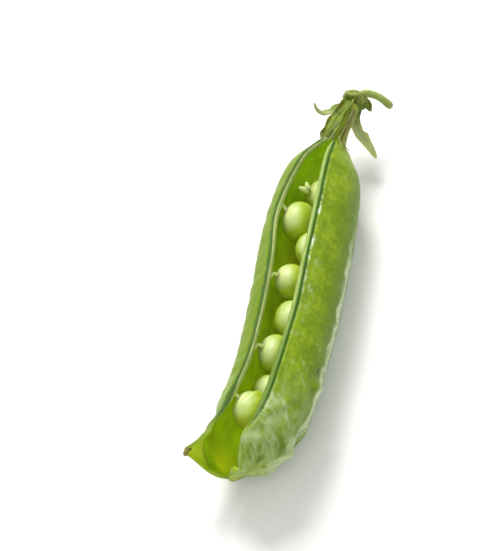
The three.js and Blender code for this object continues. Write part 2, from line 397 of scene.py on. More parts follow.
class Tree:
    """A material's node tree, with one method for every node."""

    def __init__(self, name: str) -> None:
        """Starts a material with a surface shader.

        Args:
            name: the material's name.
        """
        self.material = bpy.data.materials.new(name)
        self.material.use_nodes = True
        self.nodes = self.material.node_tree.nodes
        self.links = self.material.node_tree.links
        self.shader = self.nodes["Principled BSDF"]

    def node(
        self, kind: str, settings: dict[str, Any], sockets: dict[Any, Input], out: int | str = 0
    ) -> Value:
        """Adds a node.

        Args:
            kind: the node's type.
            settings: its properties, set first.
            sockets: values or links for its inputs, by name or number.
            out: the output that is wanted.

        Returns:
            That output.
        """
        node = self.nodes.new(kind)
        for key, value in settings.items():
            setattr(node, key, value)
        for key, value in sockets.items():
            self.feed(node.inputs[key], value)
        return Value(self, node.outputs[out])

    def feed(self, socket: bpy.types.NodeSocket, value: Input) -> None:
        """Links or sets one input.

        Args:
            socket: the input.
            value: the output that feeds it, a number, or a colour or vector of three numbers.
        """
        if isinstance(value, Value):
            self.links.new(value.socket, socket)
        elif isinstance(value, (int, float)):
            socket.default_value = value
        elif len(socket.default_value) == 4 and len(value) == 3:
            socket.default_value = (*value, 1.0)
        else:
            socket.default_value = value

    def math(self, operation: str, *values: "Value | float") -> Value:
        """One sum."""
        return self.node("ShaderNodeMath", {"operation": operation}, dict(enumerate(values)))

    def step(self, value: Value, low: float, high: float) -> Value:
        """Eases from 0 at low to 1 at high."""
        ends = {"Value": value, "From Min": low, "From Max": high}
        return self.node("ShaderNodeMapRange", {"interpolation_type": "SMOOTHSTEP"}, ends)

    def clamp(self, value: Value) -> Value:
        """Holds a value between 0 and 1."""
        return self.node("ShaderNodeClamp", {}, {"Value": value})

    def mix(self, share: Input, low: Input, high: Input) -> Value:
        """Mixes two colours."""
        return self.node("ShaderNodeMix", {"data_type": "RGBA"}, {0: share, 6: low, 7: high}, 2)

    def coats(self, base: Input, *layers: tuple[Input, Input]) -> Value:
        """Lays colours over a base.

        Args:
            base: the colour below.
            layers: the share and the colour of each layer, from the lowest up.

        Returns:
            The colour of them all.
        """
        for share, colour in layers:
            base = self.mix(share, base, colour)
        return base

    def attribute(self, name: str) -> Value:
        """A number that the mesh carries."""
        return self.node("ShaderNodeAttribute", {"attribute_name": name}, {}, "Fac")

    def place(self) -> Value:
        """Object coordinates."""
        return self.node("ShaderNodeTexCoord", {}, {}, "Object")

    def vector(self, x: Input, y: Input, z: Input) -> Value:
        """A vector from three numbers."""
        return self.node("ShaderNodeCombineXYZ", {}, {0: x, 1: y, 2: z})

    def noise(self, where: Value, scale: float, detail: float = 2.0, rough: float = 0.5) -> Value:
        """Smooth noise between 0 and 1."""
        sockets = {"Vector": where, "Scale": scale, "Detail": detail, "Roughness": rough}
        return self.node("ShaderNodeTexNoise", {}, sockets)

    def cells(self, where: Value, scale: float) -> Value:
        """Distance to the nearest of scattered points."""
        return self.node("ShaderNodeTexVoronoi", {}, {"Vector": where, "Scale": scale}, "Distance")

    def ridge(self, value: Value, middle: float, width: float) -> Value:
        """A soft line where the value is near the middle."""
        return self.step(self.math("ABSOLUTE", value - middle), width, width * 0.3)

    def bump(self, height: Value, strength: float, distance: float) -> Value:
        """A normal from a height in units of the distance."""
        sockets = {"Strength": strength, "Distance": distance, "Height": height}
        return self.node("ShaderNodeBump", {}, sockets)

    def surface(self, **sockets: Input) -> None:
        """Sets the surface shader's inputs; underscores stand for spaces."""
        for key, value in sockets.items():
            self.feed(self.shader.inputs[key.replace("_", " ")], value)


class PodMaps:
    """The numbers that the shell's mesh carries, as its finishes read them."""

    def __init__(self, tree: Tree) -> None:
        """Reads the numbers in a material's tree.

        Args:
            tree: the finish's material.
        """
        self.tree = tree
        self.along, self.rim = tree.attribute("along_mm"), tree.attribute("rim_mm")
        self.side = tree.attribute("side")

    def reach(self, zero: float, one: float) -> Value:
        """Eases from 0 to 1 between two places along the pod, in millimetres."""
        return self.tree.step(self.along, zero, one)

    def down(self, zero: float, one: float) -> Value:
        """Eases from 0 to 1 between two distances from the rim, in millimetres."""
        return self.tree.step(self.rim, zero, one)

    def strands(self, stretch: Point, scale: float, detail: float = 3.0) -> Value:
        """Makes noise in strands that follow a valve.

        Args:
            stretch: how fast it changes along the pod, away from the rim and from side to side.
            scale: its scale.
            detail: its finer layers.

        Returns:
            The noise, between 0 and 1.
        """
        x, y, z = stretch
        where = self.tree.vector(self.along * x, self.rim * y, self.side * z)
        return self.tree.noise(where, scale, detail, 0.6)

    def spots(self, marks: Sequence[Spot]) -> Value:
        """Makes soft round marks.

        Args:
            marks: the marks.

        Returns:
            Their strengths added up, 0 outside them.
        """
        found = []
        for mark in marks:
            down = (self.rim - mark.middle[1]) / mark.size[1]
            slanted = (self.rim - mark.middle[1]) * mark.slant
            across = (self.along - mark.middle[0] - slanted) / mark.size[0]
            found.append(self.tree.step(across * across + down * down, 1.0, 0.25) * mark.strength)
        return sum(found[1:], found[0])


class SkinMaps(PodMaps):
    """The patterns of the shell's skin and torn rim."""

    def __init__(self, tree: Tree) -> None:
        """Makes the patterns in a material's tree.

        Args:
            tree: the shell's material.
        """
        super().__init__(tree)
        along, rim, side, step, noise_of = self.along, self.rim, self.side, tree.step, tree.noise
        where = tree.place()
        self.inside = tree.attribute("inside")
        self.right = step(side, -0.2, 0.2)
        self.left = 1.0 - self.right
        self.near_end = self.reach(70.0, 88.0) * self.right
        # Grain from the coarsest to the finest
        cloud_at = tree.vector(along * 0.11 + rim * 0.05, rim * 0.16 - along * 0.03, side * 3.0)
        self.blotch = noise_of(cloud_at, 2.2, 5.0, 0.62)
        self.streaks = self.strands((0.12, 0.8, 7.0), 1.6, 4.0)
        self.ragged = self.strands((0.55, 0.6, 2.0), 1.5)
        self.puckers = noise_of(tree.vector(along, rim * 0.13, 5.0), 1.3, 3.0, 0.6)
        self.mottle = noise_of(where, 170.0, 4.0, 0.6)
        self.fine = noise_of(where, 900.0, 3.0, 0.6)
        # Whitish lenticel dots, whose pale colour also stands for tiny painted glints on the skin.
        self.pores_and_glints = step(tree.cells(where, 430.0), 0.26, 0.08) * step(self.mottle, 0.4, 0.6)
        # The dark line beside the rim, which wanders a little and ends before the tip
        self.wander = (self.streaks - 0.5) * 0.3 + (self.ragged - 0.5) * 0.55
        ends = 1.0 - self.reach(80.0, 92.0) * self.right - self.reach(90.0, 96.0) * self.left
        self.line_fade = ends * self.reach(12.0, 20.0)
        # Torn fibres across the rim
        thread_at = tree.vector(along * 0.05, self.inside * 5.0 + rim * 1.2, side * 3.0)
        self.threads = noise_of(thread_at, 2.6, 3.0, 0.65)
        bits = noise_of(tree.vector(along * 1.1, self.inside * 3.0 + side, side), 1.0, 3.0, 0.65)
        ridges = tree.ridge(self.inside + self.wander * 0.3, 0.93, 0.13)
        ridges = ridges + tree.ridge(self.inside + self.wander * 0.4, 0.50, 0.15) * 0.85
        pale = tree.clamp(ridges * step(bits, 0.30, 0.52) + step(self.threads, 0.55, 0.7) * 0.3)
        self.pale = tree.clamp(pale + self.left * 0.5)


@dataclass(frozen=True)
class ShellFinish:
    """Waxy green skin and pale torn rims."""

    skin_dark: Colour = (0.130, 0.215, 0.002)
    skin_light: Colour = (0.235, 0.345, 0.008)
    flank: Colour = (0.140, 0.228, 0.001)
    # wax is the whitish wax bloom, also used for the painted glints near the right rim and for the tiny
    # whitish dots that stand for glints.
    wax: Colour = (0.360, 0.460, 0.200)
    line: Colour = (0.026, 0.100, 0.004)
    rim: Colour = (0.520, 0.610, 0.230)
    rim_dark: Colour = (0.185, 0.300, 0.030)
    # torn is the pale of the torn edge, which is partly painted reflection along the right valve's
    # lower edge.
    torn: Colour = (0.620, 0.700, 0.440)
    glint: Colour = (0.800, 0.860, 0.720)
    scar: Colour = (0.060, 0.045, 0.012)
    tongue: Colour = (0.300, 0.430, 0.012)
    bottom: Colour = (0.390, 0.470, 0.040)
    # dent is the dark green of the dark dents and of the right rim towards the tip, and also painted
    # shade on the right valve's lower flank.
    dent: Colour = (0.110, 0.200, 0.012)
    neck: Colour = (0.480, 0.560, 0.080)
    brown: Colour = (0.230, 0.200, 0.040)

    def ground(self, m: SkinMaps) -> Value:
        """Colours the bare skin, darker on the left flank, with painted shade on the right valve's
        lower flank, and pale at the neck.

        Args:
            m: the shell's patterns.

        Returns:
            The colour.
        """
        tree = m.tree
        tone = m.mottle * 0.45 + m.streaks * 0.2 + m.fine * 0.35
        # Painted shade on the right valve's lower flank.
        right_flank_painted_shade = m.down(5.5, 9.5) * m.right * m.reach(92.0, 78.0)
        neck = m.reach(16.0, 6.0) * tree.step(m.streaks, 0.35, 0.65)
        return tree.coats(
            tree.mix(tree.step(tone, 0.38, 0.62), self.skin_dark, self.skin_light),
            (m.left * (0.55 + m.streaks * 0.3), self.flank),
            (right_flank_painted_shade * 0.55, self.dent),
            (neck * 0.8, self.neck),
        )

    def worn(self, m: SkinMaps, skin: Value) -> Value:
        """Lays the wax with its painted glints, tiny whitish dots that are partly painted glints,
        scratches, the pale torn edge that is partly painted reflection, the scar and dents over the
        skin.

        Args:
            m: the shell's patterns.
            skin: the colour below.

        Returns:
            The colour.
        """
        tree, step = m.tree, m.tree.step
        broken = m.fine * 0.5 + m.streaks * 0.5
        wax = m.near_end * step(m.blotch * 0.65 + m.puckers * 0.35, 0.38, 0.64) * 0.85
        # Painted glints near the right rim, laid in the wax colour.
        glints = m.down(4.6, 0.7) * m.right * step(m.blotch, 0.52, 0.68) * m.reach(40.0, 50.0)
        scratches = m.spots(SCRATCHES) * step(broken, 0.42, 0.58)
        marks = (m.spots(PALE_LUMPS) * 0.9 + scratches * 0.7) * m.right
        rubbed = m.spots(RUBBED) * m.left * step(broken, 0.38, 0.60)
        wax = tree.clamp(wax + m.near_end * 0.06 + glints * 0.6 + marks + rubbed * 0.8)
        bottom = m.reach(86.0, 93.0) * m.down(8.0, 12.5) * m.right
        # Pale strip along the right valve's lower edge: partly torn fibres, partly painted reflection
        # along that edge.
        torn_at = m.rim + (m.blotch - 0.5) * 4.5
        torn_edge_and_reflection = step(torn_at, 10.2, 11.0) * step(torn_at - m.near_end * 2.5, 14.2, 12.6) * m.right
        edge = torn_edge_and_reflection * (1.0 - m.near_end * 0.55) * m.reach(38.0, 54.0)
        edge = edge * step(m.streaks * 0.6 + m.fine * 0.4, 0.38, 0.52)
        return tree.coats(
            skin,
            (wax * (1.0 - bottom * 0.75), self.wax),
            (bottom * 0.85, self.bottom),
            (m.pores_and_glints * 0.3, self.wax),
            (edge * (0.85 - bottom * 0.7), self.torn),
            (m.spots(SCAR) * m.right * 0.9, self.scar),
            (tree.clamp(m.spots(DARK_DENTS) * m.right) * 0.8, self.dent),
        )

    def lined(self, m: SkinMaps, skin: Value) -> Value:
        """Draws the dark line beside each rim and the glints along it.

        Args:
            m: the shell's patterns.
            skin: the colour below.

        Returns:
            The colour.
        """
        step = m.tree.step
        broad = m.reach(76.0, 86.0) * m.left * 0.35 + m.left * 0.15
        line = step(m.rim + m.wander - broad, 0.54, 0.30) * m.line_fade
        edge = m.rim + m.wander * 0.5
        shine = step(edge, 1.0, 0.75) * step(edge, 0.30, 0.55) * m.right
        shine = shine * m.reach(34.0, 44.0) * m.reach(60.0, 50.0)
        shine = shine * step(m.ragged * 0.5 + m.blotch * 0.5, 0.48, 0.56)
        return m.tree.coats(skin, (line * 0.92, self.line), (shine * 0.65, self.glint))

    def torn_rim(self, m: SkinMaps, skin: Value) -> Value:
        """Colours the rim between the skin and the lining.

        Args:
            m: the shell's patterns.
            skin: the skin's colour, which the rim takes on near the tip.

        Returns:
            The colour.
        """
        tree = m.tree
        seam_reach = m.left * 0.10 + m.reach(74.0, 84.0) * m.left * 0.5
        seam = tree.step(m.inside - m.wander * 0.4 - seam_reach, 0.26, 0.08) * m.line_fade
        return tree.coats(
            tree.mix(m.pale, self.rim_dark, self.rim),
            (seam * 0.85, self.line),
            (m.reach(56.0, 74.0) * m.right * 0.85, self.dent),
            (m.reach(88.0, 95.0) * m.left, self.tongue),
            (m.reach(84.0, 92.0) * m.right, skin),
        )

    def material(self) -> bpy.types.Material:
        """Builds the material.

        Returns:
            The material of the pod's outside.
        """
        tree = Tree("pod_skin")
        m = SkinMaps(tree)
        skin = self.lined(m, self.worn(m, self.ground(m)))
        cut = tree.step(m.inside, 0.0, 0.06)
        end = m.reach(97.4, 99.2) * m.down(1.0, 3.0) * m.right * 0.9
        brown = tree.attribute("brown")
        colour = tree.coats(
            skin, (cut, self.torn_rim(m, skin)), (end, self.tongue), (brown, self.brown)
        )
        grain = m.fine * 0.5 + m.mottle * 0.6 + m.streaks * 0.3 - m.pores_and_glints * 0.4
        grain = grain + (m.blotch + m.puckers * 1.5) * m.near_end + (m.threads * 0.5 + m.pale) * cut
        tree.surface(
            Base_Color=colour,
            Roughness=0.42 + (1.0 - tree.step(m.mottle, 0.3, 0.7)) * 0.12 + m.inside * 0.06,
            Normal=tree.bump(grain, 0.35, 0.00016),
            Subsurface_Weight=0.15,
            Subsurface_Scale=0.0012,
            Subsurface_Radius=(0.6, 1.0, 0.25),
            Specular_IOR_Level=0.2,
        )
        return tree.material


@dataclass(frozen=True)
class LiningFinish:
    """The smooth lining, which glows where light comes through the wall."""

    stem: Colour = (0.560, 0.680, 0.030)
    near: Colour = (0.660, 0.780, 0.030)
    tongue: Colour = (0.310, 0.350, 0.010)
    beak: Colour = (0.440, 0.500, 0.030)
    bright: Colour = (0.560, 0.600, 0.020)
    # deep serves random darker patches, the darker strip along the rim and painted shade beside the
    # crease.
    deep: Colour = (0.250, 0.370, 0.008)
    brown: Colour = (0.180, 0.160, 0.025)

    def material(self) -> bpy.types.Material:
        """Builds the material.

        Returns:
            The material of the pod's lining.
        """
        tree = Tree("pod_lining")
        m = PodMaps(tree)
        fibres = m.strands((0.10, 0.8, 5.0), 1.5)
        cloud = tree.noise(tree.place(), 190.0, 3.0, 0.5)
        colour = tree.coats(
            self.stem,
            (m.reach(10.0, 78.0), self.near),
            (m.reach(82.0, 89.0), self.tongue),
            (m.reach(94.4, 96.4), self.beak),
            (tree.step(cloud * 0.6 + fibres * 0.4, 0.40, 0.66) * 0.5, self.deep),
            (m.reach(84.0, 89.0) * m.down(11.0, 15.0) * 0.8, self.bright),
            # Painted shade beside the crease near the beak.
            (m.spots(LINING_CREASE_SHADE) * 0.75, self.deep),
            (m.down(1.6, 0.2) * 0.5, self.deep),
            (tree.attribute("brown"), self.brown),
        )
        tree.surface(
            Base_Color=colour,
            Roughness=0.38 + cloud * 0.15,
            Normal=tree.bump(fibres * 0.7 + cloud * 0.6, 0.3, 0.00015),
            Subsurface_Weight=0.75,
            Subsurface_Scale=0.0024,
            Subsurface_Radius=(0.8, 1.0, 0.1),
            Specular_IOR_Level=0.35,
        )
        return tree.material


@dataclass(frozen=True)
class PeaFinish:
    """Pale yellow-green seed skin, with painted shade on the underside and a painted whitish highlight
    on the upper side towards the stalk.
    """

    body: Colour = (0.420, 0.540, 0.022)
    # pale serves the random paler patches and the painted highlight.
    pale: Colour = (0.600, 0.680, 0.320)
    # deep is painted shade on the pea's underside.
    deep: Colour = (0.360, 0.520, 0.010)
    stalk: Colour = (0.660, 0.790, 0.290)

    def material(self) -> bpy.types.Material:
        """Builds the material.

        Returns:
            The material of the peas and their stalks.
        """
        tree = Tree("pea_skin")
        where = tree.place()
        cloud = tree.noise(where, 260.0, 3.0, 0.5)
        fine = tree.noise(where, 1400.0, 2.0, 0.6)
        colour = tree.coats(
            self.body,
            (tree.step(cloud, 0.4, 0.8) * 0.3, self.pale),
            # Darker towards the underside: painted shade.
            (tree.step(tree.attribute("crown"), 0.2, -0.5), self.deep),
            # Painted highlight on the upper side, towards the stalk.
            (tree.clamp(tree.attribute("painted_top_highlight") * (0.45 + cloud)), self.pale),
            (tree.attribute("stalk"), self.stalk),
        )
        tree.surface(
            Base_Color=colour,
            Roughness=0.32 + cloud * 0.12,
            Normal=tree.bump(cloud * 0.7 + fine * 0.25, 0.3, 0.00012),
            Subsurface_Weight=0.8,
            Subsurface_Scale=0.0018,
            Subsurface_Radius=(0.8, 1.0, 0.3),
            Specular_IOR_Level=0.35,
        )
        return tree.material


@dataclass(frozen=True)
class LeafFinish:
    """A green leaf or stalk with veins, pale or dry in places."""

    name: str
    dark: Colour
    light: Colour
    dry: Colour
    pale: Colour = (0.470, 0.560, 0.220)
    vein_scale: float = 2.4
    dryness: float = 0.3
    rough: float = 0.36

    def material(self) -> bpy.types.Material:
        """Builds the material.

        Returns:
            The material, whose veins run along the piece.
        """
        tree = Tree(self.name)
        where = tree.place()
        along = tree.attribute("along")
        across = tree.attribute("across")
        veins = tree.noise(tree.vector(along * 0.5, across * 2.6, 0.0), self.vein_scale, 4.0, 0.65)
        cloud = tree.noise(where, 520.0, 4.0, 0.65)
        fine = tree.noise(where, 1900.0, 2.0, 0.6)
        pale = tree.clamp(tree.attribute("pale") + tree.step(veins, 0.58, 0.7) * 0.25)
        dry = tree.clamp(tree.attribute("dry") + tree.step(cloud, 0.60, 0.76) * self.dryness)
        colour = tree.coats(
            self.dark,
            (tree.step(veins * 0.55 + cloud * 0.45, 0.38, 0.62), self.light),
            (pale * (0.6 + cloud * 0.5), self.pale),
            (dry, self.dry),
        )
        tree.surface(
            Base_Color=colour,
            Roughness=self.rough + cloud * 0.15,
            Normal=tree.bump(veins + fine * 0.3 + cloud * 0.6, 0.6, 0.00028),
            Subsurface_Weight=0.1,
            Subsurface_Scale=0.001,
            Specular_IOR_Level=0.35,
        )
        return tree.material


# Pod form, shared by every piece that follows it


@dataclass(frozen=True)
class Section:
    """One cross section: its middle, roll, half sizes and the two rims' angles."""

    at: Point
    roll: float
    tall: float
    wide: float
    gaps: tuple[float, float]


SECTIONS = (
    Section((-44.2, -3.3, 13.0), 106, 1.7, 1.7, (6, 4)),
    Section((-34.4, -3.2, 12.1), 106, 2.0, 1.9, (12, 8)),
    Section((-30.4, -3.5, 11.3), 107, 4.8, 4.4, (28, 24)),
    Section((-23.0, -3.2, 10.0), 109, 8.0, 8.6, (23, 24)),
    Section((-9.4, -1.3, 9.0), 111, 9.2, 10.1, (34, 26)),
    Section((4.6, 1.2, 9.0), 111, 9.3, 10.0, (25, 25)),
    Section((18.6, 3.5, 9.0), 110, 9.2, 9.5, (24, 25)),
    Section((32.5, 5.2, 9.8), 110, 9.0, 9.0, (24, 24)),
    Section((44.3, 5.4, 11.0), 110, 8.6, 8.9, (29, 26)),
    Section((52.6, 2.8, 12.9), 105, 6.8, 5.7, (32, 26)),
    Section((56.5, 0.4, 14.5), 96, 0.8, 0.7, (8, 8)),
)


@dataclass
class Slice:
    """The pod's axes, half sizes and rims' angles at one place along it."""

    t: float
    centre: Vector
    along: Vector
    up: Vector
    right: Vector
    tall: float
    wide: float
    gaps: tuple[float, float]
    along_mm: float


@dataclass
class PodForm:
    """The walls of the pod as functions of the place along (t) and round (f) a valve.

    The solid's own measures come first, then those of the skin that only the looks have.
    """

    wall: float = 1.2
    wall_share: float = 0.15
    mouth_start: float = 0.12
    mouth_ease: float = 0.04
    cavity_ease: float = 0.08
    split_start: float = 0.84
    split_spread: float = 5.4
    rest_height: float = 0.4
    lip: float = 0.25
    torn_face: float = 1.15
    torn_drop: float = 0.25
    torn_ends: tuple[float, float] = (0.17, 0.87)
    seam: float = 0.35
    seam_width: float = 0.05
    crumple: float = 0.35
    groove: float = 0.2
    pressed_in: float = 1.5
    taper: float = 0.62
    taper_starts: tuple[float, float] = (0.77, 0.85)
    length_mm: float = 102.0
    arc: float = 2.7
    search_steps: int = 400
    rows: list[list[float]] = field(default_factory=list)

    def __post_init__(self) -> None:
        """Lays the sections out as rows of numbers."""
        self.rows = [[*s.at, s.roll, s.tall, s.wide, *s.gaps] for s in SECTIONS]

    def slice_at(self, t: float) -> Slice:
        """Works out the pod's axes and half sizes at one place.

        Args:
            t: place along the pod.

        Returns:
            The slice there.
        """
        row = through(self.rows, t)
        along = heading(self.rows, t, 1e-3)
        roll = math.radians(row[3])
        up = Vector((0.0, math.cos(roll), math.sin(roll)))
        up = (up - along * up.dot(along)).normalized()
        right = up.cross(along)
        gaps = (row[6], row[7])
        return Slice(t, Vector(row[:3]), along, up, right, row[4], row[5], gaps, self.length_mm * t)

    def rim_angle(self, s: Slice, side: Side) -> float:
        """How far a rim stands back from the middle of the mouth."""
        gap = s.gaps[0] if side is Side.LEFT else s.gaps[1]
        return math.radians(gap) * smooth((s.t - self.mouth_start) / self.mouth_ease)

    def valve(self, s: Slice, side: Side, f: float, tall: float, wide: float) -> Vector:
        """Finds a point of one valve with the given half sizes.

        Args:
            s: the slice.
            side: the valve.
            f: place round the valve.
            tall: half size from the grown seam to the mouth.
            wide: half size from valve to valve.

        Returns:
            The point.
        """
        angle = math.pi + (self.rim_angle(s, side) - math.pi) * f
        reach = min(max((s.t - self.split_start) / (1 - self.split_start), 0.0), 1.0)
        moved = s.centre + Vector((0.0, side.value * self.split_spread * reach * reach, 0.0))
        return moved + s.up * (tall * math.cos(angle)) + s.right * (side.value * wide * math.sin(angle))

    def relief(self, s: Slice, side: Side, f: float) -> float:
        """The solid's own relief: seam ridge, swollen lip and the right valve's waves.

        Args:
            s: the slice.
            side: the valve.
            f: place round the valve.

        Returns:
            Its height, in millimetres.
        """
        t = s.t
        ends = smooth((t - 0.1) / 0.1) * smooth((1 - t) / 0.08)
        ridge = self.seam * bell(f, 0.0, self.seam_width)
        lip = self.lip * smooth((f - 0.93) / 0.07)
        wavy = smooth((t - 0.72) / 0.12) * smooth((f - 0.1) / 0.2) if side is Side.RIGHT else 0.0
        waves = self.crumple * wavy * math.sin(62 * t - 5 * f) * math.sin(9 * f + 14 * t)
        return ends * (ridge + lip + waves)

    def rim_mm(self, s: Slice, f: float) -> float:
        """Distance from the rim along the wall, in millimetres."""
        return (1.0 - f) * self.arc * (s.tall + s.wide) / 2

    def squeeze(self, s: Slice, f: float) -> float:
        """How far the right valve is pressed in below its tip, skin and lining alike."""
        under = self.pressed_in * smooth((s.t - 0.838) / 0.05) * smooth((0.60 - f) / 0.25)
        return under + raised(s.along_mm, self.rim_mm(s, f), NOTCH)

    def fine(self, s: Slice, side: Side, f: float) -> float:
        """Relief of the skin that only the looks have: dents, wrinkles and the rim's groove.

        Args:
            s: the slice.
            side: the valve.
            f: place round the valve.

        Returns:
            Its height, in millimetres.
        """
        t, x, y = s.t, s.along_mm, self.rim_mm(s, f)
        ends = smooth((t - 0.02) / 0.1) * smooth((0.995 - t) / 0.05)
        quiet = smooth((1.0 - f) / 0.06) * smooth(f / 0.06)
        offset = 31.0 * side.value
        dents = 0.15 * wave(x * 0.14, y * 0.18, offset) + 0.05 * wave(x * 0.45, y * 0.5, offset + 9)
        slant = y + 0.55 * x
        ridges = 1.0 - abs(wave(x * 0.07 + 4, slant * 0.2, offset + 3)) * 2.0
        wrinkles = 0.34 * ridges + 0.16 * wave(x * 0.2, slant * 0.55, offset + 5)
        if side is Side.RIGHT:
            wrinkles *= smooth((t - 0.62) / 0.2)
            fold = bell(x + 0.5 * y, 92.5, 1.1) * smooth((y - 1.5) / 3) * smooth((10 - y) / 3)
            puckers = wave(x * 1.1, y * 0.16, 41.0) * smooth((t - 0.74) / 0.1)
            marks = raised(x, y, RAISED) + 0.35 * fold + 0.10 * puckers - self.squeeze(s, f)
        else:
            wrinkles *= 0.3 * smooth((t - 0.8) / 0.1)
            swell = smooth((t - 0.2) / 0.1) * smooth((0.85 - t) / 0.1) * bell(f, 0.8, 0.15)
            outline = wave(x * 0.55, y * 0.2, 77.0) * smooth((t - 0.25) / 0.1)
            marks = 0.4 * swell + 0.2 * outline
        groove = self.groove * bell(y, 0.45, 0.3) * smooth((t - 0.13) / 0.04) * smooth((0.9 - t) / 0.05)
        return ends * ((dents + wrinkles + marks) * quiet - groove)

    def outer(self, s: Slice, side: Side, f: float) -> Vector:
        """Finds a point of the outer face, which never dips below the resting height.

        Args:
            s: the slice.
            side: the valve.
            f: place round the valve.

        Returns:
            The point.
        """
        lift = self.relief(s, side, f) + self.fine(s, side, f)
        point = self.valve(s, side, f, s.tall + lift, s.wide + lift)
        point.z = max(point.z, self.rest_height)
        return point

    def inner(self, s: Slice, side: Side, f: float) -> Vector:
        """Finds a point of the lining; the cavity starts as a point on the torn seam.

        Args:
            s: the slice.
            side: the valve.
            f: place round the valve.

        Returns:
            The point.
        """
        right = side is Side.RIGHT
        fade = smooth((1 - f) / 0.05)
        soft = 0.12 * wave(s.along_mm * 0.2, f * 6, 50 + side.value)
        crease = 0.0 if right else 0.32 * bell(s.along_mm - 1.2 * f, 94.6, 0.8)
        pressed = self.squeeze(s, f) if right else 0.0
        less = ((soft + crease) * fade + pressed) * smooth((1 - s.t) / 0.04)
        taper_start = self.taper_starts[1 if right else 0]
        wall = self.wall * (1.0 - self.taper * smooth((s.t - taper_start) / 0.09))
        tall = max(s.tall - wall, self.wall_share * s.tall) - less
        wide = max(s.wide - wall, self.wall_share * s.wide) - less
        point = self.valve(s, side, f, tall, wide)
        if right and f >= 1.0:
            edge = self.outer(s, side, 1.0) - s.right * self.torn_face - s.up * self.torn_drop
            start, end = self.torn_ends
            point = point.lerp(edge, smooth((s.t - start) / 0.06) * smooth((end - s.t) / 0.06))
        seam_lift = self.relief(s, Side.LEFT, 1.0) + self.fine(s, Side.LEFT, 1.0)
        seam = s.centre + s.up * (s.tall + seam_lift)
        return seam.lerp(point, smooth((s.t - self.mouth_start) / self.cavity_ease))

    def nearest(self, x: float) -> Slice:
        """Finds the slice whose centre has a given x.

        Args:
            x: the place, in the drawing's frame.

        Returns:
            The slice.
        """
        places = [i / self.search_steps for i in range(self.search_steps + 1)]
        return self.slice_at(min(places, key=lambda t: abs(through(self.rows, t)[0] - x)))


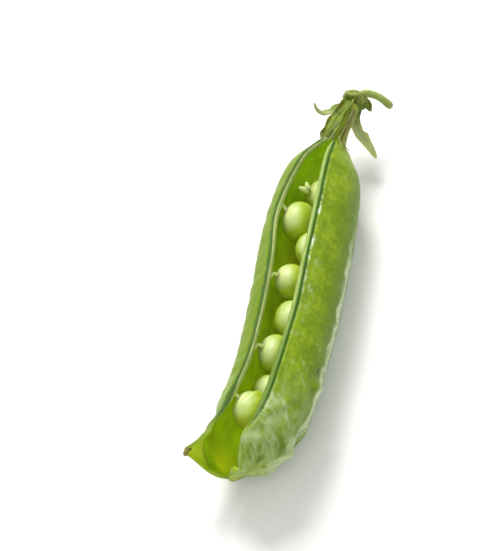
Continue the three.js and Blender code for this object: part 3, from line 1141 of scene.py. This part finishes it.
@dataclass
class PodShell:
    """The two valves, torn open along one seam, with the dried beak on the left one."""

    form: PodForm
    columns: int = 48
    lining_columns: int = 30
    rim_columns: int = 8
    dorsal_columns: int = 3
    skin_spacing: float = 1.7
    lining_spacing: float = 1.4
    rim_crown: float = 0.14
    spans: tuple[tuple[float, float, int], ...] = (
        (0.0, 0.12, 30),
        (0.12, 0.3, 56),
        (0.3, 0.84, 150),
        (0.84, 1.0, 64),
    )
    beak_route: tuple[Point, ...] = (
        (55.2, -4.4, 14.3),
        (56.2, -4.8, 14.5),
        (56.8, -4.9, 14.3),
        (57.1, -4.8, 13.8),
    )
    beak_radii: tuple[float, ...] = (0.55, 0.5, 0.36)
    clay: Clay = field(init=False)
    slices: list[list[Slice]] = field(init=False)

    def __post_init__(self) -> None:
        """Works out the pod's slices for every row of the mesh."""
        self.clay = Clay("along_mm", "rim_mm", "side", "inside", "brown")
        self.slices = [
            [self.form.slice_at(start + (end - start) * row / rows) for row in range(rows + 1)]
            for start, end, rows in self.spans
        ]

    def tip(self, side: Side) -> Vector:
        """The point where a valve ends."""
        last = self.slices[-1][-1]
        return self.form.outer(last, side, 0.5).lerp(self.form.inner(last, side, 0.5), 0.5)

    def numbers(self, s: Slice, side: Side, f: float, inside: float) -> tuple[float, ...]:
        """Works out the numbers that the shell's finishes read.

        Args:
            s: the slice.
            side: the valve.
            f: place round the valve.
            inside: depth in the wall, from 0 at the skin to 1 at the lining.

        Returns:
            Place along, distance from the rim, side, depth and how brown it is.
        """
        brown = 0.6 * smooth((s.t - 0.99) / 0.01) if side is Side.LEFT else 0.0
        sided = max(smooth(f / 0.1), smooth((s.t - self.form.split_start) / 0.03))
        return s.along_mm, self.form.rim_mm(s, f), side.value * sided, inside, brown

    def patch(
        self,
        span: int,
        side: Side,
        columns: int,
        place: Callable[[Slice, float], tuple[Vector, float, float]],
        paint: int = 0,
    ) -> None:
        """Adds one patch of wall.

        Args:
            span: which stretch of the pod.
            side: the valve.
            columns: faces across.
            place: gives point, share round the valve and depth in the wall for a slice and a share.
            paint: 0 for the skin, 1 for the lining.
        """
        slices = self.slices[span]

        def corner(column: int, row: int) -> Placed:
            """Places one corner of the patch.

            Args:
                column: its column, round the valve.
                row: its row, along the pod.

            Returns:
                Its place and its numbers.
            """
            s = slices[row]
            point, f, inside = place(s, column / columns)
            if s.t >= 1.0:
                point = self.tip(side)
            return point, self.numbers(s, side, f, inside)

        self.clay.grid(columns, len(slices) - 1, corner, paint)

    def rim(self, s: Slice, side: Side, share: float) -> Vector:
        """Finds a point of the torn rim, which is a little crowned and frayed.

        Args:
            s: the slice.
            side: the valve.
            share: place across the rim, from 0 at the skin to 1 at the lining.

        Returns:
            The point.
        """
        outer = self.form.outer(s, side, 1.0)
        inner = self.form.inner(s, side, 1.0)
        point = outer.lerp(inner, share)
        across = inner - outer
        if across.length < 1e-6:
            return point
        proud = s.along.cross(across).normalized()
        if proud.dot(s.up) < 0:
            proud.negate()
        x = s.along_mm
        fray = 0.10 * wave(x * 0.9, share * 2.0, side.value * 11.0)
        fray += 0.06 * wave(x * 0.25, share * 7.0, side.value)
        crown = math.sin(math.pi * share) * (self.rim_crown + fray)
        return point + proud * (crown * min(1.0, across.length))

    def skin_point(self, s: Slice, side: Side, share: float) -> tuple[Vector, float, float]:
        """A point of the outer face, closer spaced towards the rim, with its f and depth."""
        f = spaced(share, self.skin_spacing)
        return self.form.outer(s, side, f), f, 0.0

    def wall(self, span: int, side: Side) -> None:
        """Adds the outer face, and past the mouth's start the lining and the rim.

        Args:
            span: which stretch of the pod.
            side: the valve.
        """
        form = self.form

        def outer(s: Slice, share: float) -> tuple[Vector, float, float]:
            """Outer face."""
            return self.skin_point(s, side, share)

        def inner(s: Slice, share: float) -> tuple[Vector, float, float]:
            """Lining, closer spaced towards the rim."""
            f = spaced(share, self.lining_spacing)
            return form.inner(s, side, f), f, 1.0

        def rim(s: Slice, share: float) -> tuple[Vector, float, float]:
            """Torn rim."""
            return self.rim(s, side, share), 1.0, share

        def dorsal(s: Slice, share: float) -> tuple[Vector, float, float]:
            """Edge along the parted dorsal seam."""
            return form.outer(s, side, 0.0).lerp(form.inner(s, side, 0.0), share), 0.0, share

        self.patch(span, side, self.columns, outer)
        if span > 0:
            self.patch(span, side, self.lining_columns, inner, paint=1)
            self.patch(span, side, self.rim_columns, rim)
        if span == len(self.spans) - 1:
            self.patch(span, side, self.dorsal_columns, dorsal)

    def stem_cap(self) -> None:
        """Closes the stem end, which the calyx hides."""
        s = self.slices[0][0]
        for side in Side:

            def cap(column: int, row: int) -> Placed:
                """Places one corner of the cap."""
                point, f, inside = self.skin_point(s, side, column / self.columns)
                return s.centre.lerp(point, row / 2), self.numbers(s, side, f, inside)

            self.clay.grid(self.columns, 2, cap)

    def build(self) -> bpy.types.Object:
        """Makes the shell.

        Returns:
            The shell's object.
        """
        for side in Side:
            for span in range(len(self.spans)):
                self.wall(span, side)
        self.stem_cap()
        self.clay.tube(
            self.beak_route,
            self.beak_radii,
            lambda u, turn: (self.form.length_mm + u, 12.0, -1.0, 0.0, 1.0),
            swell=lambda u, turn: 0.05 * math.sin(2 * TURN * turn + 9 * u),
        )
        piece = self.clay.finish("shell")
        dress(piece, ShellFinish().material(), "pod_shell")
        piece.data.materials.append(LiningFinish().material())
        return piece


@dataclass(frozen=True)
class PeaSize:
    """One pea: its middle, half sizes along, across and up, and where its stalk leaves the rim."""

    at: Point
    size: Point
    rim: Side
    root: float


PEA_SIZES = (
    PeaSize((-19.5, -2.1, 8.2), (4.3, 3.7, 3.8), Side.RIGHT, 0.345),
    PeaSize((-10.4, -4.5, 9.2), (4.8, 3.7, 3.9), Side.LEFT, 0.383),
    PeaSize((-2.6, 1.1, 10.5), (4.4, 3.6, 3.7), Side.RIGHT, 0.47),
    PeaSize((6.5, -0.5, 9.5), (4.1, 3.6, 3.8), Side.LEFT, 0.532),
    PeaSize((15.8, 2.9, 9.2), (4.5, 3.9, 3.9), Side.RIGHT, 0.6),
    PeaSize((25.5, 2.7, 9.6), (4.5, 3.6, 3.9), Side.LEFT, 0.673),
    PeaSize((34.2, 4.3, 8.2), (3.9, 3.6, 3.7), Side.RIGHT, 0.725),
    PeaSize((41.6, 3.2, 11.7), (4.4, 3.6, 3.9), Side.LEFT, 0.78),
)


@dataclass
class Peas:
    """The eight peas, each on its short stalk from a rim."""

    form: PodForm
    stalk_radius: float = 0.4
    stalk_gap: float = 0.14
    shoulder_up: float = 0.55
    shoulder_aside: float = 0.45
    stalk_numbers: tuple[float, float, float] = (0.6, 1.0, 0.0)
    unevenness: float = 0.35
    crease_depth: float = 0.0088
    torn_foot: Point = (-17.9, -4.7, 11.0)
    torn_tips: tuple[Point, ...] = ((-17.1, -7.0, 12.5), (-19.2, -5.9, 12.5))
    torn_radii: tuple[float, ...] = (0.75, 0.62, 0.3)

    def lobes(self, way: Vector) -> float:
        """Shapes the shrivelled top of the last pea: two grooves and a swelling between them.

        Args:
            way: direction from its middle, in the pea's own axes.

        Returns:
            How much it swells.
        """
        bent = way.y + 0.16 * way.x + 0.07 * math.sin(4.0 * way.x)
        groove = 0.10 * bell(bent, -0.14, 0.10) * smooth((0.8 - way.x) / 0.6)
        groove += 0.03 * bell(bent + 0.3 * way.x, 0.42, 0.10)
        swelling = 0.12 * bell(bent, 0.14, 0.16) * smooth((0.2 - way.x) / 0.6)
        return (swelling - groove) * smooth(way.z / 0.3)

    def skin(
        self, number: int, frame: Slice, pea: PeaSize, hilum: Vector, way: Vector
    ) -> tuple[Vector, float, float]:
        """Finds a point of a pea's skin.

        Args:
            number: which pea, from 1.
            frame: the pod's axes at the pea.
            pea: its place and sizes.
            hilum: direction of its stalk, in the pea's own axes.
            way: direction from its middle, in the pea's own axes.

        Returns:
            The point, how much it faces up and how close it is to the stalk.
        """
        seed = number * 17.3
        lump = 0.10 * wave(way.x * 1.3 + seed, way.y * 1.3, way.z * 1.3)
        if number == len(PEA_SIZES):
            lump += self.lobes(way)
        crease = 1.0 - abs(wave(way.x * 1.2 + seed, way.y * 1.5, way.z * 1.2 + 5.0)) * 2.2
        near = max(0.0, way.dot(hilum))
        radius = 1.0 + self.unevenness * lump - self.crease_depth * max(0.0, crease) ** 2
        radius += 0.05 * near**14 - 0.035 * way.x**4  # drawn out at the stalk, squarer at the ends
        x, y, z = (step * size * radius for step, size in zip(way, pea.size))
        point = Vector(pea.at) + frame.along * x + frame.right * y + frame.up * z
        return point, way.z, smooth((near - 0.72) / 0.22)

    def stalk_route(self, pea: PeaSize, frame: Slice) -> list[Vector]:
        """Finds the stalk's way from the rim to the pea's shoulder.

        Args:
            pea: the pea.
            frame: the pod's axes at the pea.

        Returns:
            The start, a middle point and the end.
        """
        root = self.form.slice_at(pea.root)
        lining = self.form.inner(root, pea.rim, 0.9)
        inward = (root.centre - lining).normalized()
        start = self.form.inner(root, pea.rim, 0.97) + inward * self.stalk_gap
        aside = frame.right * (self.shoulder_aside * pea.rim.value * pea.size[1])
        end = Vector(pea.at) + frame.up * (self.shoulder_up * pea.size[2]) + aside
        return [start, start.lerp(end, 0.45) + frame.up * 0.75 - frame.along * 0.3, end]

    def build_one(self, number: int, pea: PeaSize, material: bpy.types.Material) -> bpy.types.Object:
        """Makes one pea.

        Args:
            number: which pea, from 1.
            pea: its place and sizes.
            material: the peas' material.

        Returns:
            The pea's object.
        """
        clay = Clay("crown", "stalk", "painted_top_highlight")
        frame = self.form.nearest(pea.at[0])
        route = self.stalk_route(pea, frame)
        offset = route[2] - Vector(pea.at)
        axes = (frame.along, frame.right, frame.up)
        hilum = Vector([offset.dot(axis) / size for axis, size in zip(axes, pea.size)]).normalized()
        # Way of the painted highlight: mostly up, a little towards the stalk.
        highlight_way = (hilum * 0.5 + Vector((0.25, 0.0, 0.8))).normalized()

        def place(way: Vector) -> Placed:
            """Places one corner of the pea."""
            point, crown, near = self.skin(number, frame, pea, hilum, way)
            return point, (crown, near * 0.9, smooth((way.dot(highlight_way) - 0.5) / 0.5))

        clay.ball(place)
        radius = self.stalk_radius
        clay.tube(
            route,
            (radius * 1.4, radius * 0.85, radius, radius * 2.3),
            lambda u, turn: self.stalk_numbers,
            swell=lambda u, turn: 0.04 * math.sin(3 * TURN * turn + 5 * u),
        )
        if number == 1:
            foot = Vector(self.torn_foot)
            for tip in map(Vector, self.torn_tips):
                bend = foot.lerp(tip, 0.45) + Vector((0.15, -0.1, 0.2))
                clay.tube([foot, bend, tip], self.torn_radii, lambda u, turn: self.stalk_numbers)
        piece = clay.finish(f"garden_pea_{number}")
        dress(piece, material, f"pea_{number}")
        return piece

    def build(self) -> list[bpy.types.Object]:
        """Makes all the peas.

        Returns:
            Their objects.
        """
        material = PeaFinish().material()
        return [self.build_one(number, pea, material) for number, pea in enumerate(PEA_SIZES, 1)]


@dataclass(frozen=True)
class Sepal:
    """One sepal: its route from base to tip, where its upper face looks, its form and its finish.

    The numbers of the finish are how dry its edges and how pale its blade are.
    """

    route: tuple[Point, ...]
    face: Point
    width: float
    fold: float
    lean: float = 1.0
    dry: float = 0.0
    pale: float = 0.0
    ruffle: float = 0.2


SEPALS = (
    Sepal(
        ((-45.6, -5.0, 12.3), (-43.4, -6.7, 11.8), (-41.0, -7.9, 12.5), (-39.8, -9.8, 13.2))
        + ((-40.2, -11.3, 15.4),),
        (-0.3, -0.3, 1.0), width=3.2, fold=0.2, lean=0.9, pale=0.8, ruffle=0.3,
    ),
    Sepal(
        ((-45.0, -3.8, 14.0), (-42.2, -3.7, 15.5), (-38.0, -4.4, 15.7), (-33.8, -5.0, 15.7))
        + ((-29.3, -6.1, 16.3),),
        (0.0, -0.2, 1.0), width=3.1, fold=0.7, lean=1.7, ruffle=0.6,
    ),
    Sepal(
        ((-46.4, -2.2, 14.0), (-45.9, -1.2, 13.8), (-45.9, 0.1, 12.8), (-45.9, 0.9, 11.4)),
        (0.4, 1.0, 0.5), width=2.5, fold=0.25, ruffle=0.3,
    ),
    Sepal(
        ((-45.8, -2.6, 11.6), (-43.6, -2.5, 9.7), (-41.2, -0.8, 8.7), (-39.4, 1.7, 7.8))
        + ((-37.3, 5.3, 5.6),),
        (0.2, 1.0, 0.6), width=4.3, fold=0.25, lean=1.5, dry=0.75, pale=0.75,
    ),
    Sepal(
        ((-45.6, -3.6, 11.0), (-43.0, -4.4, 9.4), (-40.2, -5.4, 8.4), (-37.2, -7.2, 8.0)),
        (0.2, -0.6, -1.0), width=2.6, fold=0.3, pale=0.1,
    ),
)


@dataclass
class Calyx:
    """The cup that carried the flower, with its five sepals."""

    cup_at: Point = (-46.3, -3.2, 13.2)
    cup_size: Point = (1.75, 3.0, 3.0)
    thickness: float = 0.5
    midrib: float = 0.14
    tip_start: float = 0.93
    base_end: float = 0.03
    around: int = 36
    rows: int = 56

    def sepal(self, clay: Clay, sepal: Sepal, seed: float) -> None:
        """Adds one sepal.

        Args:
            clay: the calyx's mesh.
            sepal: the sepal's sizes.
            seed: makes its waves its own.
        """
        face = Vector(sepal.face).normalized()

        def place(column: int, row: int) -> Placed:
            """Places one corner of the sepal.

            Args:
                column: its column, round the blade.
                row: its row, from the base to the tip.

            Returns:
                Its place and its numbers.
            """
            u = row / self.rows
            turn = TURN * (column % self.around) / self.around
            across, lift = math.cos(turn), math.sin(turn)
            along = heading(sepal.route, u)
            side = face.cross(along).normalized()
            up = along.cross(side)
            closing = rounded(u, self.tip_start)
            opening = math.sqrt(min(1.0, u / self.base_end))
            outline = math.sin(math.pi * (0.25 + 0.68 * u**sepal.lean))
            scallops = 1.0 + 0.22 * wave(u * 7 + seed, 2.0 * math.copysign(1.0, across), 4.0)
            half = 0.5 * sepal.width * outline * closing * scallops
            grown = smooth(u / 0.2)
            ruffle = sepal.ruffle * wave(u * 5 + seed, across * 1.5, seed) * (0.5 + abs(across)) * grown
            pleats = 0.2 * math.sin(7.5 * across + seed) * grown * (1.0 - 0.5 * u)
            thick = 0.5 * self.thickness * (1.0 - 0.55 * across * across) * closing * opening
            thick += self.midrib * bell(across, 0.0, 0.16) * (1 - u)
            height = sepal.fold * across * across * half + ruffle + pleats
            height += math.copysign(abs(lift) ** 0.6, lift) * thick if lift else 0.0
            if row in (0, self.rows):
                half, height = 0.0, 0.0
            point = Vector(through(sepal.route, u)) + side * (half * across) + up * height
            dry = sepal.dry * smooth((u - 0.2) / 0.3) * smooth((abs(across) - 0.45) / 0.5)
            tip = 0.6 * smooth((u - self.tip_start) / 0.06)
            return point, (u * 8.0, across, dry, sepal.pale * smooth((u - 0.15) / 0.4) + tip)

        clay.grid(self.around, self.rows, place)

    def cup(self, clay: Clay) -> None:
        """Adds the cup, a low knob with shallow lobes.

        Args:
            clay: the calyx's mesh.
        """

        def place(way: Vector) -> Placed:
            """Places one corner of the cup.

            Args:
                way: direction from its middle.

            Returns:
                Its place and its numbers.
            """
            turn = math.atan2(way.z, way.y)
            lobes = 1.0 + 0.05 * math.hypot(way.y, way.z) * math.cos(5 * turn + 0.6)
            lobes += 0.16 * wave(way.x * 2, way.y * 2, way.z * 2)
            size = Vector([step * half for step, half in zip(way, self.cup_size)]) * lobes
            top = smooth(way.z)
            return Vector(self.cup_at) + size, (way.x * 2.0, turn, 0.05 + 0.15 * top, 0.1 * top)

        clay.ball(place, 5)

    def build(self) -> bpy.types.Object:
        """Makes the calyx.

        Returns:
            The calyx's object.
        """
        clay = Clay("along", "across", "dry", "pale")
        self.cup(clay)
        for number, sepal in enumerate(SEPALS):
            self.sepal(clay, sepal, number * 3.7)
        piece = clay.finish("sepals_and_cup")
        green, light, dry = (0.045, 0.095, 0.003), (0.225, 0.300, 0.008), (0.520, 0.490, 0.110)
        dress(piece, LeafFinish("sepal_green", green, light, dry).material(), "calyx")
        return piece


@dataclass
class FlowerStalk:
    """The cut stub of the flower stalk."""

    route: tuple[Point, ...] = (
        (-47.4, -3.0, 12.9),
        (-48.9, -1.4, 13.5),
        (-49.4, 1.6, 12.9),
        (-49.0, 5.2, 11.0),
    )
    radii: tuple[float, ...] = (1.1, 0.92, 0.86, 0.95)

    def build(self) -> bpy.types.Object:
        """Makes the stub.

        Returns:
            Its object.
        """
        clay = Clay("along", "across", "dry", "pale")
        clay.tube(
            self.route,
            self.radii,
            lambda u, turn: (u * 4.0, turn * 6.0, smooth((u - 0.9) / 0.1), 0.3),
            around=28,
            rows=60,
            swell=lambda u, turn: 0.04 * math.sin(5 * TURN * turn) + 0.03 * wave(u * 9, turn * 3),
        )
        piece = clay.finish("cut_stalk")
        green, light, dry = (0.160, 0.235, 0.018), (0.300, 0.380, 0.050), (0.420, 0.340, 0.150)
        finish = LeafFinish("stalk_green", green, light, dry)
        dress(piece, finish.material(), "pedicel")
        return piece


@dataclass(frozen=True)
class Strip:
    """One dried strip on the right valve, from and to places along and round it."""

    start: tuple[float, float]
    end: tuple[float, float]
    width: float
    brown: float


@dataclass
class DriedStamens:
    """Two dried strips that lie along the neck."""

    form: PodForm
    strips: tuple[Strip, ...] = (
        Strip((0.02, 0.78), (0.22, 0.86), 0.5, 0.0),
        Strip((0.02, 0.70), (0.20, 0.68), 1.0, 0.9),
    )
    lift: float = 0.5
    thickness: float = 0.3
    tip_start: float = 0.95
    around: int = 20
    rows: int = 90

    def build(self) -> bpy.types.Object:
        """Makes the strips.

        Returns:
            Their object.
        """
        clay = Clay("along", "across", "dry", "pale")
        for number, strip in enumerate(self.strips):
            self.add(clay, strip, number * 5.1)
        piece = clay.finish("dried_strips")
        green, light, tan = (0.230, 0.260, 0.045), (0.370, 0.400, 0.110), (0.190, 0.155, 0.020)
        finish = LeafFinish("dried_tan", green, light, tan, vein_scale=4.0)
        dress(piece, finish.material(), "stamens")
        return piece

    def add(self, clay: Clay, strip: Strip, seed: float) -> None:
        """Adds one strip.

        Args:
            clay: the strips' mesh.
            strip: its ends and width.
            seed: makes its waves its own.
        """
        samples = []
        for row in range(self.rows + 1):
            t, f = (a + (b - a) * row / self.rows for a, b in zip(strip.start, strip.end))
            s = self.form.slice_at(t)
            skin, ahead, behind = (self.form.outer(s, Side.RIGHT, f + d) for d in (0.0, 0.02, -0.02))
            round_way = (ahead - behind).normalized()
            out = s.along.cross(round_way).normalized()
            if out.dot(skin - s.centre) < 0:
                out.negate()
            samples.append((skin, round_way, out))

        def place(column: int, row: int) -> Placed:
            """Places one corner of the strip.

            Args:
                column: its column, round the strip.
                row: its row, along the strip.

            Returns:
                Its place and its numbers.
            """
            u = row / self.rows
            skin, round_way, out = samples[row]
            turn = TURN * (column % self.around) / self.around
            across, high = math.cos(turn), math.sin(turn)
            closing = rounded(u, self.tip_start)
            half = 0.5 * strip.width * (1 - 0.45 * u) * (1 + 0.25 * wave(u * 7, seed))
            width = half * across * closing
            height = 0.5 * self.thickness * high * closing
            height += 0.12 * wave(u * 9, across * 2 + seed, 1.0)
            if row in (0, self.rows):
                width, height = 0.0, 0.0
            twist = 0.9 * wave(u * 4, seed + 2.0)
            side = round_way * math.cos(twist) + out * math.sin(twist)
            up = out * math.cos(twist) - round_way * math.sin(twist)
            lift = self.lift + 0.2 * wave(u * 6 + seed, 3.0)
            sway = round_way * (0.25 * wave(u * 5 + seed, 8.0))
            point = skin + out * lift + side * width + up * height + sway
            brown = strip.brown * smooth(0.7 + 0.9 * wave(u * 4 + seed, across * 1.5))
            return point, (u * 10.0, across, brown, 0.35 * (1.0 - strip.brown))

        clay.grid(self.around, self.rows, place)


@dataclass(frozen=True)
class Lamp:
    """A square soft light that looks at the pod, with its side and distance in metres."""

    name: str
    way: Point
    distance: float
    size: float
    watts: float
    colour: Colour

    def build(self) -> None:
        """Makes the light."""
        data = bpy.data.lights.new(self.name, "AREA")
        data.size, data.energy, data.color = self.size, self.watts, self.colour
        lamp = link(self.name, data)
        lamp.location = Vector(self.way).normalized() * self.distance
        lamp.rotation_euler = (-lamp.location).to_track_quat("-Z", "Y").to_euler()


@dataclass
class Studio:
    """Pale floor, soft light and the camera at the photograph's angle, in metres."""

    camera_at: Point = (0.20329, 0.06158, 0.2798)
    look: Point = (-0.5790, -0.2107, -0.7876)
    right: Point = (-0.3420, 0.9397, 0.0)
    lens: float = 104.5
    sensor: float = 36.0
    clip: tuple[float, float] = (0.01, 20.0)
    floor_size: float = 3.0
    lamps: tuple[Lamp, ...] = (
        Lamp("key", (-0.62, -0.62, 1.0), 0.9, 0.36, 7.6, (1.0, 0.99, 0.96)),
        Lamp("fill", (0.62, 0.10, 0.85), 1.2, 0.7, 2.6, (1.0, 1.0, 0.98)),
    )
    sky: float = 0.62
    sky_colour: tuple[float, ...] = (1.0, 1.0, 0.99, 1.0)
    floor_dark: Colour = (0.90, 0.90, 0.895)
    floor_light: Colour = (0.92, 0.92, 0.915)

    def camera(self) -> None:
        """Makes the camera."""
        look = Vector(self.look).normalized()
        right = Vector(self.right).normalized()
        up = right.cross(look)
        turn = Matrix((right, up, -look)).transposed().to_4x4()
        data = bpy.data.cameras.new("camera")
        data.lens = self.lens
        data.sensor_width = self.sensor
        data.clip_start, data.clip_end = self.clip
        data.dof.use_dof = False
        camera = link("camera", data)
        camera.matrix_world = Matrix.Translation(Vector(self.camera_at)) @ turn
        bpy.context.scene.camera = camera

    def floor(self) -> None:
        """Makes the floor."""
        bm = bmesh.new()
        bmesh.ops.create_grid(bm, x_segments=2, y_segments=2, size=self.floor_size / 2)
        mesh = bpy.data.meshes.new("floor")
        bm.to_mesh(mesh)
        bm.free()
        floor = link("floor", mesh)
        tree = Tree("floor_white")
        grain = tree.noise(tree.place(), 90.0, 3.0)
        tone = tree.mix(tree.step(grain, 0.3, 0.7), self.floor_dark, self.floor_light)
        tree.surface(Base_Color=tone, Roughness=0.8)
        mesh.materials.append(tree.material)

    def build(self) -> None:
        """Makes everything round the pod."""
        scene = bpy.context.scene
        scene.view_settings.view_transform = "Standard"
        world = bpy.data.worlds.new("sky")
        world.use_nodes = True
        background = world.node_tree.nodes["Background"]
        background.inputs["Color"].default_value = self.sky_colour
        background.inputs["Strength"].default_value = self.sky
        scene.world = world
        self.camera()
        self.floor()
        for lamp in self.lamps:
            lamp.build()


def main() -> None:
    """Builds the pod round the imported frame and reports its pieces."""
    logging.basicConfig(level=logging.INFO, format="%(name)s: %(message)s")
    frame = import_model()
    LOG.info("frame: %d nodes", len(frame["nodes"]))
    Studio().build()
    form = PodForm()
    pieces = [PodShell(form).build(), *Peas(form).build()]
    pieces += [part.build() for part in (Calyx(), FlowerStalk(), DriedStamens(form))]
    for piece in pieces:
        triangles = sum(len(face.vertices) - 2 for face in piece.data.polygons)
        LOG.info("%s: %d triangles", piece.name, triangles)


if __name__ == "__main__":
    main()
